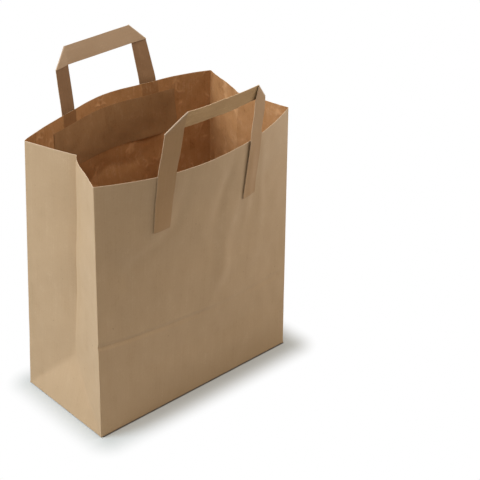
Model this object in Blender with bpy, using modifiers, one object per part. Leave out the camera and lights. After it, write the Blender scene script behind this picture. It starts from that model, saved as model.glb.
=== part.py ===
"""Kraft paper carrier bag: block bottom, side gussets and two folded paper tape handles.

Metres, +Z up. The origin is under the middle of the base, on the surface the bag stands on.
The long front panel faces -Y and the two gussets face -X and +X.
"""
import math

import bmesh
import bpy
import numpy as np

# Bag sheet
BAG_WIDTH = 0.220
BAG_DEPTH = 0.110
BAG_HEIGHT = 0.250
PAPER = 0.0003

# How far each corner of the open mouth stands from above its base corner (x, y)
FRONT_LEFT_SHIFT = (0.0085, 0.0000)
FRONT_RIGHT_SHIFT = (0.0028, 0.0015)
BACK_RIGHT_SHIFT = (0.0042, -0.0015)
BACK_LEFT_SHIFT = (0.0120, -0.0072)

# Bow of the two long panels, at the mouth and at the soft crease that crosses them
FRONT_BOW = 0.0272
BACK_BOW = 0.0260
CREASE_HEIGHT = 0.088
CREASE_BOW = 0.0075

# How far the centre crease of each gusset is pushed in, at the tip of its bottom triangle and at the mouth
LEFT_TUCK_LOW = 0.0155
LEFT_TUCK_MOUTH = 0.0215
RIGHT_TUCK_LOW = 0.0100
RIGHT_TUCK_MOUTH = 0.0155

# Block bottom: two long flaps, glued where they overlap in the middle of the base
FLAP_OVERLAP = 0.022
FOLD_INSET = 0.0006

# Tape handles
TAPE_WIDTH = 0.0168
TAPE_THICKNESS = 0.0004
FINGER_GAP = 0.0755
HANDLE_RISE = 0.0572
GLUED_LENGTH = 0.0555
HANDLE_LEAN = math.radians(11)
FRONT_HANDLE_CENTRE = 0.0045
BACK_HANDLE_CENTRE = 0.0082
FRONT_LEG_SLANT = 0.10
BACK_LEG_SLANT = 0.0

# Reinforcing patches inside the long panels: how far each reaches past the two legs that it backs
PATCH_SHORT_MARGIN = 0.005
PATCH_LONG_MARGIN = 0.017
PATCH_HEIGHT = 0.041
PATCH_DROP = 0.012
PATCH_THICKNESS = 0.0003

# Room left between two sheets that lie on each other
SHEET_GAP = 0.0003

# Mesh spacing
PANEL_COLUMNS = 20
GUSSET_HALF_COLUMNS = 5
ROWS_TO_CREASE = 2
ROWS_ABOVE_CREASE = 9
TAPE_COLUMNS = 2
LEG_ROWS = 12
STRIP_ROWS = 8
FOLD_ROWS = 4
PATCH_COLUMNS = 10
PATCH_ROWS = 3

TRIANGLE_HEIGHT = BAG_DEPTH / 2
BASE_TOP = 2 * PAPER
HALF_WIDTH = BAG_WIDTH / 2
HALF_DEPTH = BAG_DEPTH / 2

CORNERS = {
    "front_left": ((-HALF_WIDTH, -HALF_DEPTH), FRONT_LEFT_SHIFT),
    "front_right": ((HALF_WIDTH, -HALF_DEPTH), FRONT_RIGHT_SHIFT),
    "back_right": ((HALF_WIDTH, HALF_DEPTH), BACK_RIGHT_SHIFT),
    "back_left": ((-HALF_WIDTH, HALF_DEPTH), BACK_LEFT_SHIFT),
}


def corner_line(start, end, across, rise):
    """Plan position on the straight line between two corners, at a share of the height."""
    (start_base, start_shift), (end_base, end_shift) = CORNERS[start], CORNERS[end]
    x = start_base[0] + (end_base[0] - start_base[0]) * across
    y = start_base[1] + (end_base[1] - start_base[1]) * across
    shift_x = (start_shift[0] + (end_shift[0] - start_shift[0]) * across) * rise
    shift_y = (start_shift[1] + (end_shift[1] - start_shift[1]) * across) * rise
    return x, y, shift_x, shift_y


def raised(x, y, shift_x, shift_y, up):
    """Point of the sheet: what it moves sideways it loses in height, because paper doesn't stretch."""
    length = np.maximum(up, 1e-6)
    z = BASE_TOP + up - (shift_x ** 2 + shift_y ** 2) / (2 * length)
    return np.stack(np.broadcast_arrays(x + shift_x, y + shift_y, z), axis=-1)


def long_panel(side, across, up):
    """Outer face of the front or back panel: straight at the base, a parabola in plan at the mouth."""
    if side == "front":
        start, end, outward, mouth_bow = "front_left", "front_right", -1, FRONT_BOW
    else:
        start, end, outward, mouth_bow = "back_left", "back_right", 1, BACK_BOW
    x, y, shift_x, shift_y = corner_line(start, end, across, up / BAG_HEIGHT)
    bow = np.interp(up, [0, CREASE_HEIGHT, BAG_HEIGHT], [0, CREASE_BOW, mouth_bow])
    return raised(x, y, shift_x, shift_y + outward * bow * 4 * across * (1 - across), up)


def gusset(side, across, up):
    """Outer face of a gusset: a leaning triangle at the base, and two halves that meet in a tucked crease."""
    if side == "right":
        start, end, inward, low, mouth = "front_right", "back_right", -1, RIGHT_TUCK_LOW, RIGHT_TUCK_MOUTH
    else:
        start, end, inward, low, mouth = "front_left", "back_left", 1, LEFT_TUCK_LOW, LEFT_TUCK_MOUTH
    x, y, shift_x, shift_y = corner_line(start, end, across, up / BAG_HEIGHT)
    tuck = np.interp(up, [TRIANGLE_HEIGHT, BAG_HEIGHT], [low, mouth])
    share = np.minimum(up / TRIANGLE_HEIGHT, 1 - np.abs(2 * across - 1))
    return raised(x, y, shift_x + inward * tuck * share, shift_y, up)


def new_collection(name):
    collection = bpy.data.collections.new(name)
    bpy.context.scene.collection.children.link(collection)
    return collection


def mesh_object(name, vertices, faces, collection):
    mesh = bpy.data.meshes.new(name)
    mesh.from_pydata(vertices, [], faces)
    mesh.update()
    made = bpy.data.objects.new(name, mesh)
    collection.objects.link(made)
    return made


def material(name, colour, roughness):
    made = bpy.data.materials.new(name)
    made.use_nodes = True
    shader = made.node_tree.nodes["Principled BSDF"]
    shader.inputs["Base Color"].default_value = (*colour, 1)
    shader.inputs["Roughness"].default_value = roughness
    shader.inputs["Metallic"].default_value = 0
    return made


def solidify(target, thickness, offset):
    modifier = target.modifiers.new("Sheet", "SOLIDIFY")
    modifier.thickness = thickness
    modifier.offset = offset
    modifier.use_even_offset = True
    modifier.use_quality_normals = True


def grid_faces(rows, columns):
    """Quads of a grid whose points are stored row by row."""
    return [
        (r * columns + c, r * columns + c + 1, (r + 1) * columns + c + 1, (r + 1) * columns + c)
        for r in range(rows - 1)
        for c in range(columns - 1)
    ]


def bag_levels():
    """Heights up the sheet: even to the triangle's tip, then to the crease, then to the mouth."""
    low = np.linspace(0, TRIANGLE_HEIGHT, GUSSET_HALF_COLUMNS + 1)
    middle = np.linspace(TRIANGLE_HEIGHT, CREASE_HEIGHT, ROWS_TO_CREASE + 1)
    high = np.linspace(CREASE_HEIGHT, BAG_HEIGHT, ROWS_ABOVE_CREASE + 1)
    return np.concatenate([low, middle[1:], high[1:]])


def bag_cup(collection):
    """The open cup of four walls and a base, as one surface: its walls go round from the front left corner."""
    levels = bag_levels()[:, None]
    panel = np.arange(PANEL_COLUMNS) / PANEL_COLUMNS
    half = 2 * GUSSET_HALF_COLUMNS
    side = np.arange(half) / half
    walls = np.concatenate([
        long_panel("front", panel, levels),
        gusset("right", side, levels),
        long_panel("back", 1 - panel, levels),
        gusset("left", 1 - side, levels),
    ], axis=1)
    rows, columns = walls.shape[:2]
    right_start = PANEL_COLUMNS
    left_start = 2 * PANEL_COLUMNS + half
    faces = [tuple(reversed(range(columns)))]
    for r in range(rows - 1):
        for c in range(columns):
            nxt = (c + 1) % columns
            low_a, low_b = r * columns + c, r * columns + nxt
            high_a, high_b = low_a + columns, low_b + columns
            rising = right_start <= c < right_start + half // 2 or left_start <= c < left_start + half // 2
            falling = right_start + half // 2 <= c < right_start + half or left_start + half // 2 <= c
            if r < GUSSET_HALF_COLUMNS and rising:
                faces += [(low_a, low_b, high_b), (low_a, high_b, high_a)]
            elif r < GUSSET_HALF_COLUMNS and falling:
                faces += [(low_a, low_b, high_a), (low_b, high_b, high_a)]
            else:
                faces.append((low_a, low_b, high_b, high_a))
    return mesh_object("bag_body", walls.reshape(-1, 3).tolist(), faces, collection)


def flat_layer(name, outline, low, high, collection):
    """A flat piece with the given outline in plan, between two heights."""
    curve = bpy.data.curves.new(name, "CURVE")
    curve.dimensions = "2D"
    curve.fill_mode = "BOTH"
    curve.extrude = (high - low) / 2
    spline = curve.splines.new("POLY")
    spline.points.add(len(outline) - 1)
    for point, (x, y) in zip(spline.points, outline):
        point.co = (x, y, 0, 1)
    spline.use_cyclic_u = True
    drawn = bpy.data.objects.new(name + "_outline", curve)
    collection.objects.link(drawn)
    drawn.location.z = (low + high) / 2
    bpy.context.view_layer.update()
    evaluated = drawn.evaluated_get(bpy.context.evaluated_depsgraph_get())
    mesh = bpy.data.meshes.new_from_object(evaluated)
    welded = bmesh.new()
    welded.from_mesh(mesh)
    bmesh.ops.remove_doubles(welded, verts=welded.verts, dist=1e-6)
    bmesh.ops.recalc_face_normals(welded, faces=welded.faces)
    welded.to_mesh(mesh)
    welded.free()
    layer = bpy.data.objects.new(name, mesh)
    layer.matrix_world = drawn.matrix_world
    collection.objects.link(layer)
    bpy.data.objects.remove(drawn)
    layer.hide_render = True
    layer.display_type = "WIRE"
    return layer


def bottom_layers(collection):
    """The folded underside: both long flaps, and their overlap one sheet lower.

    The flaps' ends run at 45 degrees from the corners, so a side tuck shows as a triangle at each end.
    """
    x = HALF_WIDTH - FOLD_INSET
    y = HALF_DEPTH - FOLD_INSET
    tip = HALF_WIDTH - HALF_DEPTH
    lap = FLAP_OVERLAP / 2
    flaps = [(-x, -y), (x, -y), (tip, 0), (x, y), (-x, y), (-tip, 0)]
    overlap = [(-tip, 0), (-tip + lap, -lap), (tip - lap, -lap), (tip, 0), (tip - lap, lap), (-tip + lap, lap)]
    return [
        flat_layer("long_flaps", flaps, PAPER, BASE_TOP + PAPER / 2, collection),
        flat_layer("flap_overlap", overlap, 0, PAPER * 1.5, collection),
    ]


def make_bag_body(parts, cutters, paper):
    body = bag_cup(parts)
    solidify(body, PAPER, -1)
    for layer in bottom_layers(cutters):
        join = body.modifiers.new(layer.name, "BOOLEAN")
        join.operation = "UNION"
        join.solver = "EXACT"
        join.object = layer
    body.data.materials.append(paper)
    return body


def handle_surface(side, centre, slant, x, up, offset):
    """Place points of a handle: x from its centre line, up from the mouth's edge, offset out from the wall.

    Below the edge the tape follows the panel; above it the tape leans out and flattens towards a straight strip.
    """
    outward = -1 if side == "front" else 1
    below = np.minimum(up, 0)
    above = np.maximum(up, 0)
    leg_centre = (FINGER_GAP + TAPE_WIDTH) / 2

    def panel_at(plan_x, height):
        left = CORNERS[side + "_left"]
        right = CORNERS[side + "_right"]
        rise = height / BAG_HEIGHT
        left_x = left[0][0] + left[1][0] * rise
        right_x = right[0][0] + right[1][0] * rise
        return long_panel(side, (plan_x - left_x) / (right_x - left_x), height)

    wall = panel_at(centre + x + slant * below, BAG_HEIGHT + below)
    straight = (panel_at(centre - leg_centre, BAG_HEIGHT) + panel_at(centre + leg_centre, BAG_HEIGHT)) / 2
    flat = np.clip(above / (HANDLE_RISE - TAPE_WIDTH), 0, 1)
    flat = flat * flat * (3 - 2 * flat)
    y = wall[..., 1] * (1 - flat) + straight[1] * flat + outward * above * math.sin(HANDLE_LEAN)
    z = wall[..., 2] * (1 - flat) + straight[2] * flat + above * math.cos(HANDLE_LEAN)
    y = y + outward * offset * math.cos(HANDLE_LEAN)
    z = z - offset * math.sin(HANDLE_LEAN)
    return np.stack([centre + x + slant * below, y, z], axis=-1)


def make_handle(name, side, centre, slant, parts, paper):
    """One flat tape: up the wall, over at 45 degrees behind itself, across, and down again.

    Each row of points crosses the tape from its outer edge to its inner edge.
    """
    inner = FINGER_GAP / 2
    outer = inner + TAPE_WIDTH
    top = HANDLE_RISE
    shoulder = top - TAPE_WIDTH
    leg_offset = SHEET_GAP + TAPE_THICKNESS / 2
    layer_step = TAPE_THICKNESS + SHEET_GAP
    across = np.linspace(0, 1, TAPE_COLUMNS + 1)
    rows = []
    climb = np.linspace(0, 1, LEG_ROWS + 1)[:, None]
    leg_up = -GLUED_LENGTH + climb * (GLUED_LENGTH + shoulder + (top - shoulder) * across)
    leg_x = -outer + TAPE_WIDTH * across + 0 * climb
    rows.append((leg_x, leg_up, leg_offset + 0 * leg_x))
    turn = (np.arange(1, FOLD_ROWS) * math.pi / FOLD_ROWS)[:, None]
    reach = np.sin(turn) * layer_step / 2 / math.sqrt(2)
    fold_x = -outer + TAPE_WIDTH * across - reach
    fold_up = shoulder + TAPE_WIDTH * across + reach
    rows.append((fold_x, fold_up, leg_offset - (1 - np.cos(turn)) * layer_step / 2 + 0 * fold_x))
    along = np.linspace(-1, 1, STRIP_ROWS + 1)[:, None]
    strip_x = along * (outer - TAPE_WIDTH * across)
    rows.append((strip_x, shoulder + TAPE_WIDTH * across + 0 * along, leg_offset - layer_step + 0 * strip_x))
    rows.append(tuple(sign * part[::-1] for sign, part in zip((-1, 1, 1), rows[1])))
    rows.append(tuple(sign * part[::-1] for sign, part in zip((-1, 1, 1), rows[0])))
    x, up, offset = (np.concatenate([row[k] for row in rows]) for k in range(3))
    points = handle_surface(side, centre, slant, x, up, offset)
    handle = mesh_object(name, points.reshape(-1, 3).tolist(), grid_faces(*x.shape), parts)
    solidify(handle, TAPE_THICKNESS, 0)
    handle.data.materials.append(paper)
    return handle


def make_patch(name, side, centre, left_margin, right_margin, parts, paper):
    """A plain strip of paper glued inside the panel, a little wider than the handle it backs."""
    leg_edge = FINGER_GAP / 2 + TAPE_WIDTH
    x = np.linspace(-leg_edge - left_margin, leg_edge + right_margin, PATCH_COLUMNS + 1)
    up = np.linspace(-PATCH_DROP - PATCH_HEIGHT, -PATCH_DROP, PATCH_ROWS + 1)[:, None]
    offset = -(PAPER + SHEET_GAP + PATCH_THICKNESS / 2)
    points = handle_surface(side, centre, 0, x + 0 * up, up + 0 * x, offset)
    patch = mesh_object(name, points.reshape(-1, 3).tolist(), grid_faces(PATCH_ROWS + 1, PATCH_COLUMNS + 1), parts)
    solidify(patch, PATCH_THICKNESS, 0)
    patch.data.materials.append(paper)
    return patch


for old in list(bpy.data.objects):
    bpy.data.objects.remove(old)

parts = new_collection("paper_carrier_bag")
cutters = new_collection("bottom_layers")

body_paper = material("bag_kraft", (0.43, 0.30, 0.18), 0.85)
front_paper = material("front_handle_kraft", (0.41, 0.28, 0.17), 0.80)
back_paper = material("back_handle_kraft", (0.41, 0.28, 0.17), 0.80)
front_patch_paper = material("front_patch_kraft", (0.38, 0.25, 0.14), 0.85)
back_patch_paper = material("back_patch_kraft", (0.38, 0.25, 0.14), 0.85)

make_bag_body(parts, cutters, body_paper)
make_handle("front_handle", "front", FRONT_HANDLE_CENTRE, FRONT_LEG_SLANT, parts, front_paper)
make_handle("back_handle", "back", BACK_HANDLE_CENTRE, BACK_LEG_SLANT, parts, back_paper)
front_margins = PATCH_LONG_MARGIN, PATCH_SHORT_MARGIN
make_patch("front_patch", "front", FRONT_HANDLE_CENTRE, *front_margins, parts, front_patch_paper)
back_margins = PATCH_SHORT_MARGIN, PATCH_LONG_MARGIN
make_patch("back_patch", "back", BACK_HANDLE_CENTRE, *back_margins, parts, back_patch_paper)
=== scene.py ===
import math

import bpy
import numpy as np
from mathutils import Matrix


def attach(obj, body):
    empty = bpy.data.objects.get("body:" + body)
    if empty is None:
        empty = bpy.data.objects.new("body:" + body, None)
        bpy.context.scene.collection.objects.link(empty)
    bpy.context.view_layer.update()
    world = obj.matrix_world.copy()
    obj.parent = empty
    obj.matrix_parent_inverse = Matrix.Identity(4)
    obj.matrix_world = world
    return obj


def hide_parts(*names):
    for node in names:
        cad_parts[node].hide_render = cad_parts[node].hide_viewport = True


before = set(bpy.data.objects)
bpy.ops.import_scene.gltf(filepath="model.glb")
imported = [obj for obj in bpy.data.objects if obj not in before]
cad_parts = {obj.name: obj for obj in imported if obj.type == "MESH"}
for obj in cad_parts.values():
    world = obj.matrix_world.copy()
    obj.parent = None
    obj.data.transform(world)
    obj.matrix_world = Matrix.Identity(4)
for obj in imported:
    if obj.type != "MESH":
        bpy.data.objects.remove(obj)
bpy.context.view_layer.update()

# The bag: one sheet of brown kraft paper, glazed outside and rougher inside. It is folded and glued to a tube
# with a gusset down each side. Its lower end is folded under: the two gusset ends first, then the back flap,
# and over it the front flap.
BAG_WIDTH = 0.220
BAG_DEPTH = 0.110
BAG_HEIGHT = 0.250
BASE_TOP = 0.0006
PAPER = 0.0002
HALF_WIDTH = BAG_WIDTH / 2
HALF_DEPTH = BAG_DEPTH / 2
FLAP_LAP = 0.022
FLAP_LENGTH = HALF_DEPTH + FLAP_LAP / 2
SEAM_LAP = 0.0165
SEAM_STEP = 0.00022
CREASE_HEIGHT, CREASE_EASE = 0.088, 0.006
FLARE_HEIGHT, FLARE_EASE = 0.188, 0.030

# Each corner of the base, and how far the mouth's corner stands from above it
CORNERS = {
    "front_left": ((-HALF_WIDTH, -HALF_DEPTH), (0.0079, 0.0006)),
    "front_right": ((HALF_WIDTH, -HALF_DEPTH), (0.0028, 0.0015)),
    "back_right": ((HALF_WIDTH, HALF_DEPTH), (0.0042, -0.0015)),
    "back_left": ((-HALF_WIDTH, HALF_DEPTH), (0.0120, -0.0072)),
}
# Each long panel's corners, outward side, bow at the soft crease and at the mouth, and how much less it has
# where it starts to flare
LONG_PANELS = {
    "front": ("front_left", "front_right", -1, 0.0075, 0.0272, 0.0052),
    "back": ("back_right", "back_left", 1, 0.0075, 0.0260, 0.0),
}
# Each gusset's corners, inward side, tuck of its centre fold at the triangle's tip and at the mouth, and how
# far that fold lies nearer to the back at each of them
GUSSETS = {
    "right": ("front_right", "back_right", -1, 0.0100, 0.0138, 0.0, 0.0),
    "left": ("back_left", "front_left", 1, 0.0150, 0.0218, 0.0014, 0.0036),
}
# Softness of a gusset's centre fold, how much softer it is at the triangle's tip and how far from there, and
# the softness of the triangle's edges at the base and how much softer they are higher up
FOLD_SOFTNESS, TIP_SOFTNESS, TIP_REACH = 0.006, 0.048, 0.012
EDGE_SOFTNESS, HIGH_SOFTNESS = 0.022, 0.030
# How much each gusset's halves swell out, and how much more the left one's front half does at the mouth
GUSSET_SWELL = {"right": 0.005, "left": 0.0105}
MOUTH_SWELL = 0.018


def smooth(value, low=0.0, high=1.0):
    """0 below low, 1 above high, and a soft S between: 3x^2 - 2x^3 of the share of the way."""
    share = np.clip((value - low) / (high - low), 0, 1)
    return share * share * (3 - 2 * share)


def fold_line(along, up, line, width, depth, crisp):
    """Height of a bent line pressed into paper: depth times a bell of the distance from the line.

    line lists its points as (along, up, strength). The bell is a mix of a round one, e to the minus square of
    the distance, and a crisp one with a sharp bottom, e to the minus distance.
    """
    nearest = np.full(np.broadcast(along, up).shape, 1e9)
    strength = np.zeros_like(nearest)
    for (from_along, from_up, from_strength), (to_along, to_up, to_strength) in zip(line[:-1], line[1:]):
        step_along, step_up = to_along - from_along, to_up - from_up
        run = (along - from_along) * step_along + (up - from_up) * step_up
        share = np.clip(run / (step_along ** 2 + step_up ** 2), 0, 1)
        away = np.hypot(along - from_along - share * step_along, up - from_up - share * step_up)
        nearer = away < nearest
        strength = np.where(nearer, from_strength + (to_strength - from_strength) * share, strength)
        nearest = np.where(nearer, away, nearest)
    bell = (1 - crisp) * np.exp(-(nearest / width) ** 2) + crisp * np.exp(-nearest / (0.6 * width))
    return depth * strength * bell


def ripple(along, up, size, seed):
    """Smooth unevenness of about -1 to 1: a sum of seven sine waves of about the size, turned at random."""
    waves = 7
    draw = np.random.default_rng(seed)
    angles = draw.uniform(0, math.pi, waves)
    phases = draw.uniform(0, 6.3, waves)
    stretches = draw.uniform(0.7, 1.5, waves)
    total = 0.0
    for angle, phase, stretch in zip(angles, phases, stretches):
        turn = 2 * math.pi / (size * stretch)
        total = total + np.sin(turn * (along * math.cos(angle) + up * math.sin(angle)) + phase)
    return total / math.sqrt(waves)


def crumple(along, up, size, seed):
    """Small sharp ridges of about 0 to 1: a power of e that falls off on each side of a ripple's zeros."""
    return np.exp(-3.2 * np.abs(ripple(along, up, size, seed)))


# Lines pressed into the long panels. Each lists its points, as the distance from the panel's left end seen
# from outside, the height and the strength, and then its width, depth and crispness. The first of each panel
# is the crease across it where the bag was folded flat.
FRONT_LINES = [
    (
        [
            (0.000, 0.0942, 1.0), (0.028, 0.0916, 1.0), (0.052, 0.0913, 0.9),
            (0.077, 0.0891, 0.8), (0.139, 0.085, 0.3), (0.209, 0.083, 0.6),
        ],
        0.0023, -0.0014, 0.5,
    ),
    (
        [
            (0.083, 0.250, 0.4), (0.079, 0.215, 0.7), (0.073, 0.192, 1.0),
            (0.050, 0.1758, 1.0), (0.0295, 0.1622, 0.8), (0.027, 0.1408, 0.2),
        ],
        0.0075, -0.0014, 0.15,
    ),
    (
        [(0.133, 0.245, 0.5), (0.128, 0.220, 1.0), (0.120, 0.185, 0.6), (0.122, 0.170, 0.1)],
        0.0065, -0.0015, 0.15,
    ),
    (
        [(0.150, 0.215, 0.2), (0.135, 0.1595, 0.8), (0.132, 0.1253, 1.0), (0.119, 0.0947, 0.4)],
        0.0090, 0.0017, 0.1,
    ),
    ([(0.157, 0.235, 0.9), (0.160, 0.186, 0.6), (0.156, 0.150, 0.1)], 0.0045, 0.0009, 0.1),
    ([(0.173, 0.236, 0.9), (0.178, 0.178, 0.6), (0.180, 0.140, 0.1)], 0.0050, 0.0009, 0.1),
]
BACK_LINES = [
    (
        [(0.220, 0.0925, 0.6), (0.150, 0.0900, 0.9), (0.080, 0.0905, 0.9), (0.000, 0.0930, 0.8)],
        0.0026, -0.0007, 0.5,
    ),
    (
        [(0.060, 0.188, 0.3), (0.082, 0.176, 1.0), (0.118, 0.180, 0.9), (0.150, 0.170, 0.3)],
        0.0060, 0.0009, 0.15,
    ),
    ([(0.030, 0.215, 0.3), (0.046, 0.190, 1.0), (0.052, 0.160, 0.5)], 0.0065, -0.0010, 0.15),
    ([(0.160, 0.210, 0.2), (0.172, 0.180, 1.0), (0.168, 0.150, 0.4)], 0.0065, 0.0009, 0.15),
]
# Where the mouth's edge differs from the plain bow: x from the panel's middle, and how far it stands out more
MOUTH_SHAPE = {
    "front": [
        (-0.110, 0.0), (-0.075, 0.0004), (-0.040, 0.0006), (0.000, 0.0), (0.060, 0.0), (0.115, 0.0),
    ],
    "back": [
        (-0.110, 0.0), (-0.090, -0.0010), (-0.065, -0.0026), (-0.040, -0.0030), (-0.018, 0.0006),
        (0.005, 0.0027), (0.025, 0.0010), (0.043, -0.0020), (0.060, -0.0008), (0.080, 0.0), (0.115, 0.0),
    ],
}
# How much lower the cut edge hangs: distance round the sheet from the front left corner, and the drop
MOUTH_DROP = [
    (0.000, 0.0017), (0.050, 0.0019), (0.085, 0.0012), (0.130, 0.0002),
    (0.220, 0.0), (0.605, 0.0), (0.612, 0.0004), (0.660, 0.0017),
]
# Height and length of the long panels' soft and fine waves, and the middle height and the half width and half
# height of the stretch of the back panel that is crumpled
SOFT_WAVE, SOFT_LENGTH = 0.00055, 0.075
FINE_WAVE, FINE_LENGTH = 0.00012, 0.022
CRUMPLED_AT, CRUMPLED_HALF_WIDTH, CRUMPLED_HALF_HEIGHT = 0.165, 0.085, 0.035


def through(places, knots):
    """A smooth curve through knots: a straight run between them, eased by the mean of five nearby places."""
    at, value = np.array(knots).T
    near = (-0.012, -0.006, 0.0, 0.006, 0.012)
    return sum(np.interp(places + shift, at, value) for shift in near) / len(near)


def panel_relief(side, across, up):
    """How far a long panel stands out from its plain bow: waves, pressed lines, crumples and mouth's shape.

    The waves die away at the folds round the panel. All but the mouth's shape gets weaker near the cut edge.
    """
    along = across * BAG_WIDTH
    calm = smooth(across, 0, 0.05) * smooth(1 - across, 0, 0.05) * smooth(up, 0.004, 0.05)
    soft_seed, fine_seed, lines = (3, 11, FRONT_LINES) if side == "front" else (5, 13, BACK_LINES)
    relief = SOFT_WAVE * ripple(along, up, SOFT_LENGTH, soft_seed) * calm
    relief = relief + FINE_WAVE * ripple(along, up, FINE_LENGTH, fine_seed) * calm
    for line, width, depth, crisp in lines:
        relief = relief + fold_line(along, up, line, width, depth, crisp) * smooth(up, 0.004, 0.03)
    if side == "back":
        sideways = (along - HALF_WIDTH) / CRUMPLED_HALF_WIDTH
        crumpled = np.exp(-sideways ** 4 - ((up - CRUMPLED_AT) / CRUMPLED_HALF_HEIGHT) ** 2)
        creases = 0.00035 * crumple(along, up, 0.024, 21) + 0.00012 * crumple(along, up, 0.011, 23)
        relief = relief - creases * crumpled
    rim = 1 - 0.6 * smooth(up, BAG_HEIGHT - 0.05, BAG_HEIGHT)
    from_left = across if side == "front" else 1 - across
    mouth = through((from_left - 0.5) * BAG_WIDTH, MOUTH_SHAPE[side])
    mouth = mouth * smooth(across, 0, 0.06) * smooth(1 - across, 0, 0.06)
    return relief * rim + mouth * smooth(up, 0.13, 0.262) * 1.2


def plan(start, end, across, rise):
    """Plan position on the line between two corners, and how far it has moved from above the base."""
    (start_base, start_shift), (end_base, end_shift) = CORNERS[start], CORNERS[end]
    at = [a + (b - a) * across for a, b in zip(start_base, end_base)]
    moved = [(a + (b - a) * across) * rise for a, b in zip(start_shift, end_shift)]
    return (*at, *moved)


def raised(x, y, shift_x, shift_y, up):
    """A point of the sheet: what it moves sideways it loses in height, because paper doesn't stretch."""
    length = np.maximum(up, 0.002)
    z = BASE_TOP + up - (shift_x ** 2 + shift_y ** 2) / (2 * length)
    return np.stack(np.broadcast_arrays(x + shift_x, y + shift_y, z), axis=-1)


def long_panel(side, across, up):
    """Outside of a long panel: straight at the base, a parabola in plan above, leaning out more at each bend.

    Each bend adds a slope above its height, eased in over a short way: half of (x + root(x^2 + ease^2)),
    counted from the base.
    """
    start, end, outward, crease_bow, mouth_bow, hollow = LONG_PANELS[side]
    x, y, shift_x, shift_y = plan(start, end, across, up / BAG_HEIGHT)
    to_flare, to_mouth = FLARE_HEIGHT - CREASE_HEIGHT, BAG_HEIGHT - CREASE_HEIGHT
    slope_low = crease_bow / CREASE_HEIGHT
    slope_middle = (mouth_bow - crease_bow) / to_mouth - hollow / to_flare
    slope_high = (mouth_bow - crease_bow - slope_middle * to_flare) / (to_mouth - to_flare)
    bends = (
        (CREASE_HEIGHT, CREASE_EASE, slope_middle - slope_low),
        (FLARE_HEIGHT, FLARE_EASE, slope_high - slope_middle),
    )
    bow = slope_low * up
    for height, ease, more in bends:
        past = up - height
        bow = bow + more * (past + height + np.sqrt(past ** 2 + ease ** 2) - math.hypot(height, ease)) / 2
    out = bow * 4 * across * (1 - across) + panel_relief(side, across, up)
    point = raised(x, y, shift_x, shift_y + outward * out, up)
    along = across * BAG_WIDTH + (BAG_WIDTH + BAG_DEPTH) * (side == "back")
    point[..., 2] -= through(along, MOUTH_DROP) * smooth(up, 0.10, BAG_HEIGHT)
    return point


def gusset(side, across, up):
    """Outside of a gusset: a leaning triangle at the base, and two halves above that meet in a tucked fold.

    The tuck is the smaller of a ramp, the height over the triangle's, and a roof, the nearness to the centre
    fold. Both have soft edges, and the fold is softest at the triangle's tip. Each half swells out a little.
    """
    start, end, inward, low, mouth, sway_low, sway_mouth = GUSSETS[side]
    x, y, shift_x, shift_y = plan(start, end, across, up / BAG_HEIGHT)
    tuck = low + (mouth - low) * np.clip((up - HALF_DEPTH) / (BAG_HEIGHT - HALF_DEPTH), -0.3, 1)
    soft = FOLD_SOFTNESS + TIP_SOFTNESS * np.exp(-((up - HALF_DEPTH) / TIP_REACH) ** 2)
    roof = 1 - np.sqrt((2 * across - 1) ** 2 + soft ** 2) + soft * 0.5
    ramp = up / HALF_DEPTH
    round_edge = EDGE_SOFTNESS + HIGH_SOFTNESS * smooth(up, 0.02, 0.05)
    share = np.maximum((roof + ramp - np.sqrt((roof - ramp) ** 2 + round_edge ** 2)) / 2, 0)
    calm = smooth(across, 0, 0.1) * smooth(1 - across, 0, 0.1) * smooth(up, 0.004, 0.05)
    seed = 31 if side == "left" else 37
    along = across * BAG_DEPTH
    relief = (0.0005 * ripple(along, up, 0.08, seed) + 0.0001 * ripple(along, up, 0.02, seed + 1)) * calm
    in_half = 1 - np.abs(2 * across - 1)
    swell = GUSSET_SWELL[side] * in_half ** 2 * (1 - in_half) * smooth(up, 0.065, 0.13)
    if side == "right":
        creases = 0.0006 * crumple(along, up, 0.020, 33) + 0.0005 * crumple(along, up, 0.011, 34)
        relief = relief + creases * calm * smooth(up, 0.12, 0.18) * (1 - 0.7 * smooth(up, 0.225, 0.25))
    else:
        front_half = across > 0.5
        swell = swell + MOUTH_SWELL * in_half ** 4 * (1 - in_half) * smooth(up, 0.18, 0.25) * front_half
    sway = (sway_low + (sway_mouth - sway_low) * smooth(up, HALF_DEPTH, BAG_HEIGHT)) * share
    point = raised(x, y, shift_x + inward * (tuck * share + relief - swell), shift_y + sway, up)
    start_along = {"right": BAG_WIDTH, "left": 2 * BAG_WIDTH + BAG_DEPTH}[side]
    point[..., 2] -= through(start_along + along, MOUTH_DROP) * smooth(up, 0.10, BAG_HEIGHT)
    return point


def long_flap(side, across, below):
    """Underside of a long flap: its ends run in at 45 degrees. The front one steps down over the back one."""
    outward = LONG_PANELS[side][2]
    x = -outward * (across - 0.5) * 2 * (HALF_WIDTH - below)
    y = outward * (HALF_DEPTH - below)
    lap_edge = HALF_DEPTH - FLAP_LAP / 2
    level = 0.00030 - 0.00022 * smooth(below, lap_edge - 0.003, lap_edge) * (side == "front")
    z = BASE_TOP - (BASE_TOP - level) * smooth(below, 0, 0.0009)
    z = z + 0.00002 * ripple(x, y, 0.03, 41) * smooth(below, 0.002, 0.01)
    return np.stack(np.broadcast_arrays(x, y, z), axis=-1)


def gusset_end(side, across, below):
    """Underside of a gusset's end: a plain oblong laid on the inside of the long flaps."""
    inward = GUSSETS[side][2]
    x = -inward * (HALF_WIDTH - below)
    y = -inward * (across - 0.5) * BAG_DEPTH * (1 - 0.008 * smooth(below, 0, 0.004))
    z = BASE_TOP + 0.00005 * smooth(below, 0, 0.0009) * (1 + 0.6 * ripple(x, y, 0.04, 43))
    return np.stack(np.broadcast_arrays(x, y, z), axis=-1)


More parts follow.
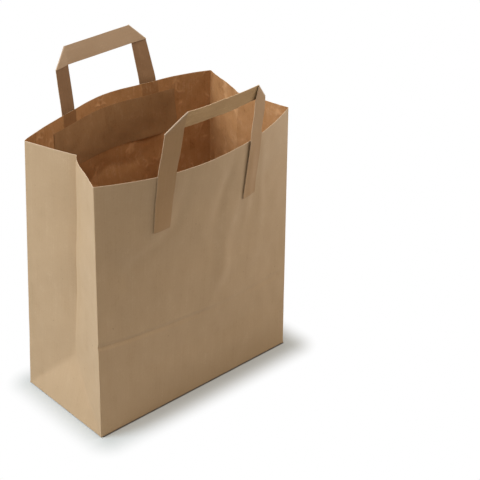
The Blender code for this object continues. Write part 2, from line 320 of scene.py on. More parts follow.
# Distances of the close rows and columns beside a fold, how far the even ones stay off it, and their step. At
# the crease across the long panels the rows are closer too, between two heights.
NEAR_FOLD = np.array([0.0003, 0.0007, 0.0012, 0.0019])
OFF_FOLD = 0.0026
PANEL_STEP = 0.0023
CREASE_LOW, CREASE_HIGH, CREASE_STEP = 0.0885, 0.0955, 0.001


def spaced(length, *folds):
    """Places along a length: even steps, and closer ones at each fold and on both sides of it."""
    even = np.arange(0, length + PANEL_STEP / 2, PANEL_STEP)
    even = even * (length / (PANEL_STEP * round(length / PANEL_STEP)))
    spots = [even[np.all(np.abs(even[:, None] - np.array(folds)[None, :]) > OFF_FOLD, axis=1)]]
    for place in folds:
        spots += [place + NEAR_FOLD, place - NEAR_FOLD, np.array([place])]
    spots = np.unique(np.round(np.concatenate(spots), 7))
    return spots[(spots >= 0) & (spots <= length)]


front_across = spaced(BAG_WIDTH, 0, BAG_WIDTH) / BAG_WIDTH
back_across = spaced(BAG_WIDTH, 0, BAG_WIDTH, BAG_WIDTH - SEAM_LAP) / BAG_WIDTH
side_across = spaced(BAG_DEPTH, 0, BAG_DEPTH, BAG_DEPTH / 2) / BAG_DEPTH
wall_up = spaced(BAG_HEIGHT, 0, BAG_HEIGHT)
wall_up = wall_up[(wall_up < CREASE_LOW) | (wall_up > CREASE_HIGH)]
crease_up = np.arange(CREASE_LOW, CREASE_HIGH + CREASE_STEP / 10, CREASE_STEP)
wall_up = np.unique(np.round(np.concatenate([wall_up, crease_up]), 7))
flap_below = np.concatenate([[FLAP_LENGTH], np.linspace(FLAP_LENGTH - 0.004, 0.0035, 14), NEAR_FOLD[::-1]])

SIDES = {
    "front": (front_across, BAG_WIDTH, long_panel, long_flap),
    "right": (side_across, BAG_DEPTH, gusset, gusset_end),
    "back": (back_across, BAG_WIDTH, long_panel, long_flap),
    "left": (side_across, BAG_DEPTH, gusset, gusset_end),
}


def soften(points, pull, axis):
    """Rounds a fold in six rounds: each point goes 0.6 of its pull towards the mean of its two neighbours."""
    points = np.moveaxis(points, axis, 0).copy()
    pull = pull.reshape((-1,) + (1,) * (points.ndim - 1)) if pull.ndim == 1 else pull
    for _ in range(6):
        middle = (points[:-2] + points[2:]) / 2
        points[1:-1] += (middle - points[1:-1]) * 0.6 * pull[1:-1]
    return np.moveaxis(points, 0, axis)


def grid_faces(index, place, turned=False):
    """Quads between a grid's rows and columns of vertex numbers, and the flat places of their corners."""
    early, late = slice(None, -1), slice(1, None)
    corners = [(early, early), (early, late), (late, late), (late, early)]
    if turned:
        corners.reverse()
    quads = np.stack([index[corner] for corner in corners], axis=-1).reshape(-1, 4)
    places = np.stack([place[corner] for corner in corners], axis=2).reshape(-1, 4, 2)
    return quads, places


# The four walls as one ring of columns, with the corners rounded
CORNER_REACH = 0.0014
ring, ring_from_corner = [], []
start_of = {}
travelled = 0.0
for side, (across, length, wall, flap) in SIDES.items():
    start_of[side] = (sum(len(part) for part in ring_from_corner), travelled)
    ring.append(wall(side, across[None, :-1], wall_up[:, None]))
    ring_from_corner.append(np.minimum(across[:-1], 1 - across[:-1]) * length)
    travelled += length
ring = np.concatenate(ring, axis=1)
ring_from_corner = np.concatenate(ring_from_corner)
wrap = 8
round_ring = np.concatenate([ring[:, -wrap:], ring, ring[:, :wrap]], axis=1)
from_corner = np.concatenate([ring_from_corner[-wrap:], ring_from_corner, ring_from_corner[:wrap]])
round_ring = soften(round_ring, np.maximum(0, 1 - from_corner / CORNER_REACH), axis=1)[:, wrap:-wrap]
above_base = smooth(wall_up, 0.0, 0.002)[:, None, None]
ring = ring * (1 - above_base) + round_ring * above_base
rows, columns = ring.shape[:2]

# The back panel's sheet lies double from the seam's cut edge to the corner, so it stands a paper further out
seam_columns = start_of["back"][0] + np.arange(len(back_across) - 1)
seam_run = back_across[:-1] * BAG_WIDTH
doubled = smooth(seam_run, BAG_WIDTH - SEAM_LAP - 0.0002, BAG_WIDTH - SEAM_LAP + 0.0002)
doubled = doubled * (1 - smooth(seam_run, BAG_WIDTH - 0.004, BAG_WIDTH - 0.0005))
ring[:, seam_columns, 1] += SEAM_STEP * doubled * smooth(wall_up, 0.0005, 0.003)[:, None]

# The flaps and gusset ends, joined to the ring by a rounded fold
FOLD_REACH = 0.0016
FOLD_ROWS = 9
vertices, faces, face_flat = [], [], []
count = rows * columns
for side, (across, length, wall, flap) in SIDES.items():
    first, travelled = start_of[side]
    on_ring = (first + np.arange(len(across))) % columns
    strip = np.concatenate([flap(side, across[None, :], flap_below[:, None]), ring[:FOLD_ROWS, on_ring]])
    from_fold = np.abs(np.concatenate([-flap_below, wall_up[:FOLD_ROWS]]))
    clear = smooth(np.minimum(across, 1 - across) * length, 0.0002, 0.0022)[None, :, None]
    strip = soften(strip, np.maximum(0, 1 - from_fold / FOLD_REACH)[:, None, None] * clear, axis=0)
    ring[:FOLD_ROWS, on_ring] = strip[len(flap_below):]
    vertices.append(strip[:len(flap_below)].reshape(-1, 3))
    below_index = count + np.arange(len(flap_below) * len(across)).reshape(len(flap_below), len(across))
    wall_index = np.arange(rows)[:, None] * columns + on_ring[None, :]
    count += below_index.size
    sheet_up = np.concatenate([-flap_below, wall_up])[:, None]
    place = np.stack(np.broadcast_arrays(travelled + across[None, :] * length, sheet_up), axis=-1)
    quads, places = grid_faces(np.concatenate([below_index, wall_index]), place)
    faces.append(quads)
    face_flat.append(places)
vertices = np.concatenate([ring.reshape(-1, 3), *vertices])
faces = np.concatenate(faces)
face_flat = np.concatenate(face_flat)


def paper_piece(name, points, quads, corner_flat, thickness, offset, finishes):
    """A closed sheet of paper: a surface given a thickness by Solidify, with its flat place in a UV map.

    finishes are the materials of the outside, the inside and the cut edge.
    """
    mesh = bpy.data.meshes.new(name)
    mesh.from_pydata(points.tolist(), [], quads.tolist())
    layer = mesh.uv_layers.new(name="sheet")
    layer.data.foreach_set("uv", corner_flat.astype(np.float32).ravel())
    mesh.polygons.foreach_set("use_smooth", np.ones(len(quads), bool))
    for finish in finishes:
        mesh.materials.append(finish)
    mesh.update()
    piece = bpy.data.objects.new(name, mesh)
    bpy.context.scene.collection.objects.link(piece)
    sheet = piece.modifiers.new("Paper", "SOLIDIFY")
    sheet.thickness = thickness
    sheet.offset = offset
    sheet.use_even_offset = False
    sheet.use_quality_normals = True
    sheet.material_offset = 1
    sheet.material_offset_rim = 2
    return piece


class Wire:
    """A shader socket. Sums written on it add Math nodes, and node() adds any other node to the same tree."""

    def __init__(self, tree, socket=None):
        self.tree = tree
        self.socket = socket

    def node(self, kind, inputs=(), give=0, **settings):
        """Adds a node of a kind, sets its settings and then its inputs, and returns what it gives."""
        made = self.tree.nodes.new("ShaderNode" + kind)
        for name, value in settings.items():
            setattr(made, name, value)
        for place, value in dict(inputs).items():
            if isinstance(value, Wire):
                self.tree.links.new(value.socket, made.inputs[place])
            else:
                made.inputs[place].default_value = value
        return Wire(self.tree, made.outputs[give])

    def sum(self, operation, first, second):
        return self.node("Math", {0: first, 1: second}, operation=operation)

    def __add__(self, other):
        return self.sum("ADD", self, other)

    def __sub__(self, other):
        return self.sum("SUBTRACT", self, other)

    def __mul__(self, other):
        return self.sum("MULTIPLY", self, other)

    def __rsub__(self, other):
        return self.sum("SUBTRACT", other, self)

    def __abs__(self):
        return self.node("Math", {0: self}, operation="ABSOLUTE")

    __radd__ = __add__
    __rmul__ = __mul__

    def over(self, low, high):
        """A soft step from 0 at low to 1 at high."""
        return self.node("MapRange", {0: self, 1: low, 2: high}, interpolation_type="SMOOTHSTEP")

    def scaled(self, place, x, y, turn=0.0):
        """A place stretched by x and y, and turned in the sheet."""
        return self.node("Mapping", {"Vector": place, "Rotation": (0, 0, turn), "Scale": (x, y, 1)})

    def noise(self, place, detail, rough):
        """Cloudy noise of about one wave per unit of a place."""
        return self.node("TexNoise", {"Vector": place, "Scale": 1.0, "Detail": detail, "Roughness": rough})

    def part(self, place, axis):
        """The x (0) or y (1) of a place."""
        return self.node("SeparateXYZ", {0: place}, give=axis)

    def blend(self, share, first, second, how="MIX"):
        """A colour that goes from first, at share 0, to second, at share 1."""
        return self.node("Mix", {0: share, 6: first, 7: second}, give=2, data_type="RGBA", blend_type=how)


# The colours of a cut edge, pale with a painted highlight along the lit rim, and of a worn fold with a
# painted highlight; and the shade of bark flecks and the brightness of the painted highlight on fine creases,
# as a share of the darkest and of the lightest fibres' colour
PALE_CUT_AND_HIGHLIGHT = (0.66, 0.49, 0.33, 1)
FOLD_WEAR_AND_HIGHLIGHT = (0.66, 0.53, 0.40, 1)
FLECK_SHADE = 0.35
VEIN_HIGHLIGHT = 1.25


def kraft(
    name, pulp, dark, light, roughness, gloss,
    cloudy=0.55, crease_highlight=0, shaded_bands=(), edge_at=None, turn_at=None,
):
    """Brown kraft paper: pulp with cloudy patches, lines along the web, long fibres, bark flecks and a tooth.

    pulp is its plain colour, dark and light the colours of its darkest and lightest fibres. crease_highlight
    is how much a painted highlight shows along fine creases, partly rubbed wear. shaded_bands lists bands of
    painted shade, where doubled paper lets less light come through: middle and half width along the sheet,
    the height from which they go up, and their tint. edge_at is the middle and half of the sheet's length,
    for its pale cut edges with a painted highlight along the lit rim. turn_at is for a folded tape: its first
    edge's place in the UV map, the folds' distance from each end, its whole length, and the painted lighter
    tint between the folds, which stands in for the light the strip catches; each fold is painted pale, as
    worn and with a painted highlight.
    """
    material = bpy.data.materials.new(name)
    material.use_nodes = True
    tree = material.node_tree
    shader = tree.nodes["Principled BSDF"]
    start = Wire(tree)
    sheet = start.node("UVMap", uv_map="sheet")
    clouds = start.noise(start.scaled(sheet, 75, 48), 3, 0.6)
    patches = start.noise(start.scaled(sheet, 620, 430), 3, 0.65)
    lines = start.noise(start.scaled(sheet, 900, 14), 2, 0.6)
    fibre_a = start.noise(start.scaled(sheet, 2600, 330, 0.22), 2, 0.6).over(0.57, 0.68)
    fibre_b = start.noise(start.scaled(sheet, 2300, 360, -0.30), 2, 0.6).over(0.58, 0.70)
    fibre_c = start.noise(start.scaled(sheet, 520, 2500, 0.12), 2, 0.6).over(0.60, 0.72)
    tooth = start.noise(start.scaled(sheet, 3200, 2600), 2, 0.7)
    specks = start.node("TexVoronoi", {"Vector": start.scaled(sheet, 420, 230), "Scale": 1.0}, feature="F1")
    speck_size = start.noise(start.scaled(sheet, 160, 130), 1, 0.5).over(0.56, 0.78) * 0.16
    flecks = start.sum("LESS_THAN", specks, speck_size)
    web = start.noise(start.scaled(sheet, 70, 9), 2, 0.55)
    tone = 0.5 + (clouds - 0.5) * cloudy + (web - 0.5) * 0.30 + (patches - 0.5) * 0.5 + (lines - 0.5) * 0.40
    tone = tone + (tooth - 0.5) * 0.25 + fibre_a * 0.10 - fibre_b * 0.09 + fibre_c * 0.07
    colour = start.blend(tone.over(0.0, 0.5), (*dark, 1), (*pulp, 1))
    colour = start.blend(tone.over(0.5, 1.0), colour, (*light, 1))
    colour = start.blend(flecks * 0.55, colour, (*(FLECK_SHADE * value for value in dark), 1))
    height = tooth * 0.010 + fibre_a * 0.012 + fibre_b * 0.010 + fibre_c * 0.008
    height = height + patches * 0.020 + lines * 0.010 + clouds * 0.06
    # painted highlight along fine creases, partly rubbed wear; the creases also stand up in the bump
    if crease_highlight:
        centred = start.noise(start.scaled(sheet, 75, 60), 1.2, 0.5) - 0.5
        veins = 1 - abs(centred).over(0.0, 0.085)
        highlit = start.noise(start.scaled(sheet, 62, 50), 2, 0.6).over(0.50, 0.66)
        colour = start.blend(veins * highlit * crease_highlight, colour, (*(VEIN_HIGHLIGHT * value for value in light), 1))
        height = height + veins * highlit * 0.30
    # painted shade: darker bands where the paper lies double and lets less light come through
    for middle, half, low, tint in shaded_bands:
        ragged = start.part(sheet, 0) - middle + (patches - 0.5) * 0.0016
        band = 1 - abs(ragged).over(half - 0.0006, half + 0.0010)
        above = start.part(sheet, 1).over(low, low + 0.004)
        colour = start.blend(band * above, colour, (*tint, 1), "MULTIPLY")
    # pale cut fibres, and a painted highlight along the lit rim
    if edge_at is not None:
        middle, half = edge_at
        at_cut = abs(start.part(sheet, 1) - middle).over(half - 0.0008, half - 0.0003)
        colour = start.blend(at_cut * 0.6, colour, PALE_CUT_AND_HIGHLIGHT)
    # painted light: the strip between the folds gets a lighter tint, standing in for the light it catches
    if turn_at is not None:
        first_edge, distance, whole, strip_light_tint = turn_at
        run = start.part(sheet, 1)
        across = start.part(sheet, 0) - first_edge
        past_fold = start.sum("MINIMUM", run, whole - run) - across - distance
        colour = start.blend(past_fold.over(-0.0004, 0.0002), colour, (*strip_light_tint, 1), "MULTIPLY")
        # each fold painted pale: partly worn fibres, partly a painted highlight
        fold_highlight = past_fold.over(-0.0009, -0.0001) - past_fold.over(-0.0001, 0.0006)
        colour = start.blend(fold_highlight * 0.75, colour, FOLD_WEAR_AND_HIGHLIGHT)
    bump = start.node("Bump", {"Height": height, "Strength": 0.8, "Distance": 0.001})
    rough = roughness + (patches - 0.5) * 0.16 + (tooth - 0.5) * 0.12 - fibre_a * 0.04
    tree.links.new(colour.socket, shader.inputs["Base Color"])
    tree.links.new(rough.socket, shader.inputs["Roughness"])
    tree.links.new(bump.socket, shader.inputs["Normal"])
    shader.inputs["Specular IOR Level"].default_value = gloss
    return material


# Painted shade where the paper lies double and lets less light come through: along the whole seam, and behind
# the back handle's left and right legs
DOUBLED_PAPER_SHADE = [
    (0.5418, 0.0083, 0.0, (0.84, 0.80, 0.74)),
    (0.4863, 0.0084, 0.1945, (0.62, 0.60, 0.58)),
    (0.3906, 0.0084, 0.1945, (0.74, 0.72, 0.70)),
]
bag_outside = kraft(
    "bag_kraft_glazed", (0.430, 0.295, 0.165), (0.350, 0.225, 0.112), (0.510, 0.365, 0.222), 0.50, 0.2,
    edge_at=((BAG_HEIGHT - FLAP_LENGTH) / 2, (BAG_HEIGHT + FLAP_LENGTH) / 2),
)
# The inside's redder colour is partly painted light: a warm glow that stands in for light coming through the
# paper
bag_inside = kraft(
    "bag_kraft_inside", (0.436, 0.219, 0.085), (0.274, 0.117, 0.037), (0.568, 0.328, 0.159), 0.72, 0.15,
    cloudy=1.1, crease_highlight=0.45, shaded_bands=DOUBLED_PAPER_SHADE,
)
bag_edge = kraft(
    "bag_kraft_cut_edge", (0.600, 0.455, 0.300), (0.520, 0.370, 0.230), (0.680, 0.540, 0.380), 0.85, 0.2,
)
bag = paper_piece("bag_sheet", vertices, faces, face_flat, PAPER, -1, [bag_outside, bag_inside, bag_edge])
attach(bag, "root")
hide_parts("bag_body")

# The handles: each one flat tape of folded kraft, glued to the outside of a long panel. Each leg turns at the
# top by a 45 degree fold behind itself, and the tape runs straight across to the other leg.
TAPE_WIDTH = 0.0165
TAPE_THICKNESS = 0.00042
FINGER_GAP = 0.0758
HANDLE_RISE = 0.0572
GLUED_LENGTH = 0.0555
LAYER_GAP = 0.00016
INNER_EDGE = FINGER_GAP / 2
OUTER_EDGE = INNER_EDGE + TAPE_WIDTH
SHOULDER = HANDLE_RISE - TAPE_WIDTH
TAPE_LENGTH = 2 * (GLUED_LENGTH + SHOULDER + OUTER_EDGE)
TAPE_WAVE, TAPE_WAVE_LENGTH = 0.00025, 0.045
SIDE_WAVE, SIDE_WAVE_LENGTH = 0.00012, 0.060
WORN_EDGE = 0.00012
BOW_AT_LEGS = 0.022
TAPE_PATTERN_AT = 0.7

# The shape that each handle has taken. Pairs are for the left and the right leg, and lengths are in metres.
# centre: x of the handle's middle. spread: how much further right a leg stands at the mouth than at its top.
# slants: how far the glued part runs sideways per metre. reach: how much longer it is.
# y, y_slope, z, z_slope: place and slopes of the shoulder line, where the strip begins.
# lean and bow: the strip's lean away from the bag, and how far its middle bows out.
# turned: how far the outer edges turn towards the bag. raised: how much higher the strip is than they are.
# open: the angle at which each corner's fold stands open. lifted: how far each of the legs' four edges stands
# off the wall, from left to right, at the mouth and at the glued end.
FRONT_SHAPE = {
    "centre": 0.0049, "spread": (-0.0029, 0.0015), "slants": (0.025, 0.000), "reach": (1.0, 1.08),
    "y": -0.0854, "y_slope": 0.021, "z": 0.2877, "z_slope": 0.0, "lean": math.radians(19), "bow": 0.0022,
    "turned": (0.0050, 0.0047), "raised": (0.0029, 0.0024), "open": (0.010, 0.11),
    "lifted": [(0.0008, 0.0006), (0.0003, 0.0002), (0.0013, 0.0005), (0.0003, 0.0001)],
}
BACK_SHAPE = {
    "centre": 0.0083, "spread": (0.0005, -0.0005), "slants": (0.0, 0.0), "reach": (1.0, 1.0),
    "y": 0.0795, "y_slope": 0.105, "z": 0.2890, "z_slope": -0.045, "lean": math.radians(15.4), "bow": 0.0,
    "turned": (0.0034, 0.0010), "raised": (0.0, 0.0), "open": (0.02, 0.03),
    "lifted": [(0.0003, 0.0001)] * 4,
}


def on_panel(side, x, up):
    """The point of a long panel's outside that has the given x, and its outward direction in plan."""
    left, right = CORNERS[side + "_left"], CORNERS[side + "_right"]
    rise = up / BAG_HEIGHT
    left_x = left[0][0] + left[1][0] * rise
    right_x = right[0][0] + right[1][0] * rise
    across = (x - left_x) / (right_x - left_x)
    if side == "back":
        across = 1 - across
    point = long_panel(side, across, up)
    run = long_panel(side, across + 0.002, up) - point
    outward = np.stack([run[..., 1], -run[..., 0], 0 * run[..., 0]], axis=-1)
    return point, outward / np.linalg.norm(outward, axis=-1, keepdims=True)


def tape_place(side, shape, x, up, offset):
    """Where a point of the tape is: x from the handle's middle, up from the mouth, offset off the wall.

    Below the edge it follows the panel. Above it each point goes on to its place on the shoulder line, where
    the strip begins, and the strip leans out from there. The turn at the mouth's edge is eased.
    """
    outward = -1 if side == "front" else 1
    left = x < 0
    below, above = np.minimum(up, 0) * np.where(left, *shape["reach"]), np.maximum(up, 0)
    share = np.clip(above / SHOULDER, 0, 1)
    spread = np.where(left, *shape["spread"])
    plan_x = shape["centre"] + x + np.where(left, *shape["slants"]) * below + spread * (1 - share)
    wall, out_way = on_panel(side, plan_x, BAG_HEIGHT + below)
    edge = np.clip((np.abs(x) - INNER_EDGE) / TAPE_WIDTH, 0, 1.1)
    bowed = shape["bow"] * (1 - np.clip(np.abs(x) / INNER_EDGE, 0, 1) ** 2)
    out_y = outward * (bowed - np.where(left, *shape["turned"]) * edge)
    line_y = shape["y"] + shape["y_slope"] * x + out_y
    line_z = shape["z"] + shape["z_slope"] * x + np.where(left, *shape["raised"]) * (1 - np.clip(edge, 0, 1))
    ease = 0.12
    eased = (np.hypot(share, ease) - ease) / (math.hypot(1, ease) - ease)
    leg_lean = math.atan2(abs(shape["y"]) - HALF_DEPTH - BOW_AT_LEGS, SHOULDER)
    in_strip = smooth(up, SHOULDER - 0.0015, SHOULDER + 0.0015)
    lean = leg_lean * smooth(above, -0.004, 0.012) * (1 - in_strip) + shape["lean"] * in_strip
    way = out_way * (1 - share[..., None]) + np.array([0, outward, 0]) * share[..., None]
    way = way / np.linalg.norm(way, axis=-1, keepdims=True)
    fade = 1 - smooth(above, 0.004, SHOULDER)
    climb = np.clip((up + GLUED_LENGTH) / GLUED_LENGTH, 0, 1)
    leg_edges = zip(shape["lifted"], (left, left, ~left, ~left), (1 - edge, edge, edge, 1 - edge))
    lift = 0
    for (at_mouth, at_end), leg, away in leg_edges:
        lift = lift + leg * (at_end + (at_mouth - at_end) * climb) * np.clip(1 - away, 0, 1) ** 1.2 * fade
    past = np.maximum(up - SHOULDER, 0)
    y = wall[..., 1] + (line_y - wall[..., 1]) * eased + outward * past * math.sin(shape["lean"])
    z = wall[..., 2] + (line_z - wall[..., 2]) * share + past * math.cos(shape["lean"])
    point = np.stack([plan_x, y, z], axis=-1) + way * (offset * np.cos(lean) + lift)[..., None]
    point[..., 2] -= offset * np.sin(lean)
    return point


def tape_rows(open_angles):
    """The tape as rows across it, from outer to inner edge: x, height, offset and distance along the tape.

    Each corner is a fold at 45 degrees, half a turn behind the leg. It stands open by a small angle, which
    lifts the leg's top off the strip by that angle times the distance from the fold.
    """
    across = np.concatenate([[0, 0.012, 0.03], np.linspace(0.08, 0.92, 13), [0.97, 0.988, 1]])
    step = TAPE_THICKNESS + LAYER_GAP
    leg_offset = LAYER_GAP + TAPE_THICKNESS / 2
    climb = np.linspace(0, 1, 56)[:, None]
    leg_up = -GLUED_LENGTH + climb * (GLUED_LENGTH + SHOULDER + TAPE_WIDTH * across)
    leg_x = -OUTER_EDGE + TAPE_WIDTH * across + 0 * climb
    from_fold = (SHOULDER + TAPE_WIDTH * across - leg_up) / math.sqrt(2) * smooth(leg_up, 0.006, SHOULDER)
    leg = (leg_x, leg_up, leg_offset + open_angles[0] * from_fold, leg_up + GLUED_LENGTH)
    other_leg = (leg_x, leg_up, leg_offset + open_angles[1] * from_fold, leg_up + GLUED_LENGTH)
    turn = (np.arange(1, 8) * math.pi / 8)[:, None]
    reach = np.sin(turn) * step * 0.62 / math.sqrt(2)
    fold_x = -OUTER_EDGE + TAPE_WIDTH * across - reach
    fold_up = SHOULDER + TAPE_WIDTH * across + reach
    fold = (fold_x, fold_up, leg_offset - (1 - np.cos(turn)) * step / 2 + 0 * fold_x, GLUED_LENGTH + fold_up)
    along = np.linspace(-1, 1, 52)[:, None]
    strip_x = along * (OUTER_EDGE - TAPE_WIDTH * across)
    strip_up = SHOULDER + TAPE_WIDTH * across + 0 * along
    strip_run = TAPE_LENGTH / 2 + strip_x
    strip = (strip_x, strip_up, leg_offset - step + 0 * strip_x, strip_run)
    parts = [leg, fold, strip]
    for rows in (fold, other_leg):
        x, up, offset, run = (part[::-1] for part in rows)
        parts.append((-x, up, offset, TAPE_LENGTH - run))
    return across, [np.concatenate(part) for part in zip(*parts)]


def tape_handle(name, node, side, shape, finishes):
    """One handle: the tape's rows put in place, with its long edges rounded and its own small waves."""
    across, (x, up, offset, run) = tape_rows(shape["open"])
    seed = 51 if side == "front" else 57
    tape_across = across[None, :] * TAPE_WIDTH
    offset = offset + TAPE_WAVE * ripple(run, tape_across, TAPE_WAVE_LENGTH, seed) * smooth(up, -0.01, 0.02)
    x = x + SIDE_WAVE * ripple(run, 0 * run, SIDE_WAVE_LENGTH, seed + 1) * smooth(up, -0.05, 0.01)
    points = tape_place(side, shape, x, up, offset).reshape(-1, 3)
    place = np.stack(np.broadcast_arrays(tape_across + TAPE_PATTERN_AT, run), axis=-1)
    quads, places = grid_faces(np.arange(x.size).reshape(x.shape), place, turned=side == "back")
    handle = paper_piece(name, points, quads, places, TAPE_THICKNESS, 0, finishes)
    edge = handle.modifiers.new("Worn edge", "BEVEL")
    edge.width = WORN_EDGE
    edge.segments = 2
    edge.limit_method = "ANGLE"
    edge.angle_limit = math.radians(50)
    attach(handle, "root")
    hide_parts(node)


# On both faces of the tape the strip between the folds is painted lighter, as painted light, and each fold is
# painted pale with wear and a painted highlight
handle_outside = kraft(
    "handle_kraft_tape", (0.354, 0.214, 0.101), (0.285, 0.165, 0.072), (0.424, 0.273, 0.142), 0.55, 0.2,
    turn_at=(TAPE_PATTERN_AT, GLUED_LENGTH + SHOULDER, TAPE_LENGTH, (1.13, 1.26, 1.56)),
)
# The reverse is a darker copy of the tape's kraft: painted shade, for the inner faces that the back handle
# shows in the mouth
handle_inside_shaded = kraft(
    "handle_kraft_reverse_shaded", (0.247, 0.138, 0.0665), (0.172, 0.089, 0.040), (0.327, 0.196, 0.102), 0.65, 0.15,
    cloudy=0.9, turn_at=(TAPE_PATTERN_AT, GLUED_LENGTH + SHOULDER, TAPE_LENGTH, (1.61, 1.81, 1.77)),
)
handle_edge = kraft(
    "handle_kraft_edge", (0.540, 0.390, 0.245), (0.440, 0.300, 0.175), (0.620, 0.470, 0.315), 0.8, 0.2,
)
handle_finishes = [handle_outside, handle_inside_shaded, handle_edge]
tape_handle("handle_tape_front", "front_handle", "front", FRONT_SHAPE, handle_finishes)
tape_handle("handle_tape_back", "back_handle", "back", BACK_SHAPE, handle_finishes)

# The patches: a strip of plain kraft glued inside each long panel behind the handle's legs, so that they
# don't tear out. It is cut square, and its lower edge and one end have come a little away from the wall.
PATCH_HEIGHT = 0.041
PATCH_DROP = 0.012
PATCH_THICKNESS = 0.00010
GLUE_GAP = 0.00003
LIFT, LIFT_FROM_RIGHT, LIFT_HALF_WIDTH, LIFT_HALF_HEIGHT = 0.0010, 0.034, 0.012, 0.006
LOOSE_END, LOOSE_WIDTH = 0.00025, 0.003
PATCH_PATTERN_AT = 1.3


def patch(name, node, side, centre, margins, finishes):
    """A strip that lies on the inside of a panel, a paper's thickness off it.

    It lifts by a bell of the distance from a place on its lower edge, and by another from its left end.
    margins are how far it goes past the legs' outer edges, left and right.
    """
    close = np.array([0, 0.0001, 0.0004])
    length = 2 * OUTER_EDGE + margins[0] + margins[1]
    x = np.concatenate([close, np.linspace(0.0015, length - 0.0015, 82), length - close[::-1]])[None, :]
    x = x + centre - OUTER_EDGE - margins[0]
    up = np.concatenate([close, np.linspace(0.0015, PATCH_HEIGHT - 0.0015, 24), PATCH_HEIGHT - close[::-1]])
    up = up[:, None] + BAG_HEIGHT - PATCH_DROP - PATCH_HEIGHT
    wall, outward = on_panel(side, x + 0 * up, up + 0 * x)
    sideways = (x - x[0, -1] + LIFT_FROM_RIGHT) / LIFT_HALF_WIDTH
    from_lifted = np.hypot(sideways, (up - up[0]) / LIFT_HALF_HEIGHT)
    loose_end = LOOSE_END * np.exp(-((x - x[0, 0]) / LOOSE_WIDTH) ** 2 + 0 * up)
    gap = PAPER + GLUE_GAP + LIFT * np.exp(-from_lifted ** 2) + loose_end
    points = wall - outward * gap[..., None]
    place = np.stack(np.broadcast_arrays(x + PATCH_PATTERN_AT, up), axis=-1)
    quads, places = grid_faces(np.arange(gap.size).reshape(gap.shape), place, turned=side == "back")
    piece = paper_piece(name, points.reshape(-1, 3), quads, places, PATCH_THICKNESS, -1, finishes)
    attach(piece, "root")
    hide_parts(node)


# The patch's kraft is darker and greyer than the wall's inside, and its cut edge has the same colour: painted
# shade, as the patch gets none of the light that comes through the wall
patch_paper_shaded = kraft(
    "patch_kraft_shaded", (0.335, 0.185, 0.080), (0.230, 0.114, 0.043), (0.440, 0.261, 0.126), 0.75, 0.15,
    cloudy=1.0,
)
patch_edge_shaded = kraft(
    "patch_kraft_edge_shaded", (0.300, 0.168, 0.084), (0.240, 0.128, 0.060), (0.380, 0.222, 0.116), 0.85, 0.1,
)
patch_finishes = [patch_paper_shaded, patch_paper_shaded, patch_edge_shaded]
patch("patch_strip_front", "front_patch", "front", 0.0045, (0.017, 0.005), patch_finishes)
patch("patch_strip_back", "back_patch", "back", 0.0082, (0.013, 0.017), patch_finishes)

# The stage: a white floor that fades into a white room, three large soft lamps, above, left and right, and
# the camera where the photograph was taken. The floor shows the bag's shadow only close to it.
WHITE, BLACK = (1, 1, 1, 1), (0, 0, 0, 1)
# Near the bag the floor's shade is partly the lamps' real shadow and partly painted shadow: a darker seen
# tone and a faint glow that turn into plain white within a short reach of an oblong round the base, shifted
# to the front and right, and a painted contact shadow, a thin dark line along the base's edges but the left
# one
SHADOW_REACH = 0.031
SHADOW_TONE = (0.475, 0.505, 0.495, 1)
SHADOW_GLOW = (0.08, 0.08, 0.08, 1)
CONTACT_SHADOW_REACH = 0.0012
CONTACT_SHADOW_TONE = (0.17, 0.155, 0.14, 1)
BOUNCE_TONE = (0.575, 0.565, 0.55, 1)
ROOM_TONE = (0.202, 0.178, 0.158, 1)


def in_view(start):
    """1 for what is seen directly, mirrored or through glass, and 0 for the light that falls on things."""
    rays = start.node("LightPath", give=0) + start.node("LightPath", give=3) + start.node("LightPath", give=6)
    return rays.over(0.0, 1.0)


def past_oblong(start, middle, half):
    """Distance on the floor from an oblong with a middle and half sides: the length of what is past them."""
    past = start.node("TexCoord", give=3)
    past = start.node("VectorMath", {0: past, 1: middle}, operation="SUBTRACT")
    past = start.node("VectorMath", {0: past}, operation="ABSOLUTE")
    past = start.node("VectorMath", {0: past, 1: half}, operation="SUBTRACT")
    past = start.node("VectorMath", {0: past, 1: (0, 0, 0)}, operation="MAXIMUM")
    return start.node("VectorMath", {0: past}, give=1, operation="LENGTH")


floor_mesh = bpy.data.meshes.new("floor")
floor_mesh.from_pydata([(-4, -4, 0), (4, -4, 0), (4, 4, 0), (-4, 4, 0)], [], [(0, 1, 2, 3)])
floor = bpy.data.objects.new("floor", floor_mesh)
bpy.context.scene.collection.objects.link(floor)
floor_paper = bpy.data.materials.new("floor_white")
floor_paper.use_nodes = True
tree = floor_paper.node_tree
shader = tree.nodes["Principled BSDF"]
shader.inputs["Roughness"].default_value = 0.9
shader.inputs["Specular IOR Level"].default_value = 0.0
shader.inputs["Emission Strength"].default_value = 1
paint = Wire(tree)
seen = in_view(paint)
# painted shadow: the floor seen near the base is darker lit paper that turns to white further off, and a
# painted contact shadow runs along the base's edges
from_shadow = past_oblong(paint, (0.003, -0.004, 0), (HALF_WIDTH - 0.002, HALF_DEPTH, 0))
from_contact_shadow = past_oblong(paint, (0.0015, 0.001, 0), (HALF_WIDTH - 0.0015, HALF_DEPTH + 0.001, 0))
fade = from_shadow.over(0.0, SHADOW_REACH) * seen
clear = from_contact_shadow.over(0.0, CONTACT_SHADOW_REACH)
floor_tone = paint.blend(clear, CONTACT_SHADOW_TONE, SHADOW_TONE)
floor_tone = paint.blend(seen, BOUNCE_TONE, floor_tone)
floor_tone = paint.blend(fade, floor_tone, BLACK)
glow = paint.blend(seen * clear, BLACK, SHADOW_GLOW)
glow = paint.blend(fade, glow, WHITE)
tree.links.new(floor_tone.socket, shader.inputs["Base Color"])
tree.links.new(glow.socket, shader.inputs["Emission Color"])
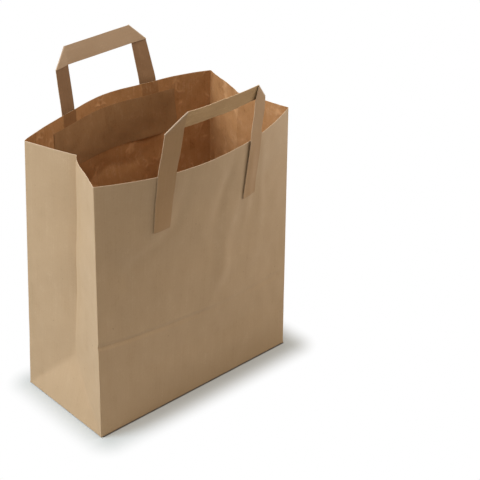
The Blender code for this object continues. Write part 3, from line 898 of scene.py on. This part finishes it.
floor_mesh.materials.append(floor_paper)

world = bpy.data.worlds.new("room")
bpy.context.scene.world = world
world.use_nodes = True
room = Wire(world.node_tree)
background = world.node_tree.nodes["Background"]
room_colour = room.blend(in_view(room), ROOM_TONE, WHITE)
world.node_tree.links.new(room_colour.socket, background.inputs["Color"])
background.inputs["Strength"].default_value = 1

LIT_POINT = (0, 0, 0.12)


def lamp(name, place, size, power, colour):
    """A square soft lamp at a place, turned towards the bag's middle."""
    light = bpy.data.lights.new(name, "AREA")
    light.shape = "SQUARE"
    light.size = size
    light.energy = power
    light.color = colour
    made = bpy.data.objects.new(name, light)
    bpy.context.scene.collection.objects.link(made)
    way = np.array(LIT_POINT, float) - np.array(place, float)
    tilt = math.acos(-way[2] / np.linalg.norm(way))
    turn = math.atan2(way[1], way[0]) - math.pi / 2
    made.location = place
    made.rotation_euler = (tilt, 0, turn)
    made.visible_camera = False


lamp("overhead", (-0.28, 0.00, 1.78), 1.7, 27, (1.02, 0.97, 0.92))
lamp("left_softbox", (-1.58, 0.70, 1.02), 0.9, 29.5, (0.893, 1.022, 1.19))
lamp("right_softbox", (1.75, -0.80, 0.60), 1.0, 19, (1.02, 0.96, 0.90))

PITCH, YAW = math.radians(30.8), math.radians(-41.7)
CAMERA_BACK, CAMERA_RIGHT, CAMERA_UP = 1.332, 0.0768, 0.1163
lens = bpy.data.cameras.new("camera")
lens.lens = 105
lens.sensor_width = 36
lens.clip_start = 0.01
camera = bpy.data.objects.new("camera", lens)
bpy.context.scene.collection.objects.link(camera)
back = np.array([math.sin(YAW) * math.cos(PITCH), -math.cos(YAW) * math.cos(PITCH), math.sin(PITCH)])
right = np.array([math.cos(YAW), math.sin(YAW), 0])
camera.location = back * CAMERA_BACK + right * CAMERA_RIGHT + np.cross(back, right) * CAMERA_UP
camera.rotation_euler = (math.pi / 2 - PITCH, 0, YAW)
bpy.context.scene.camera = camera
bpy.context.scene.view_settings.view_transform = "Standard"

bpy.context.view_layer.update()
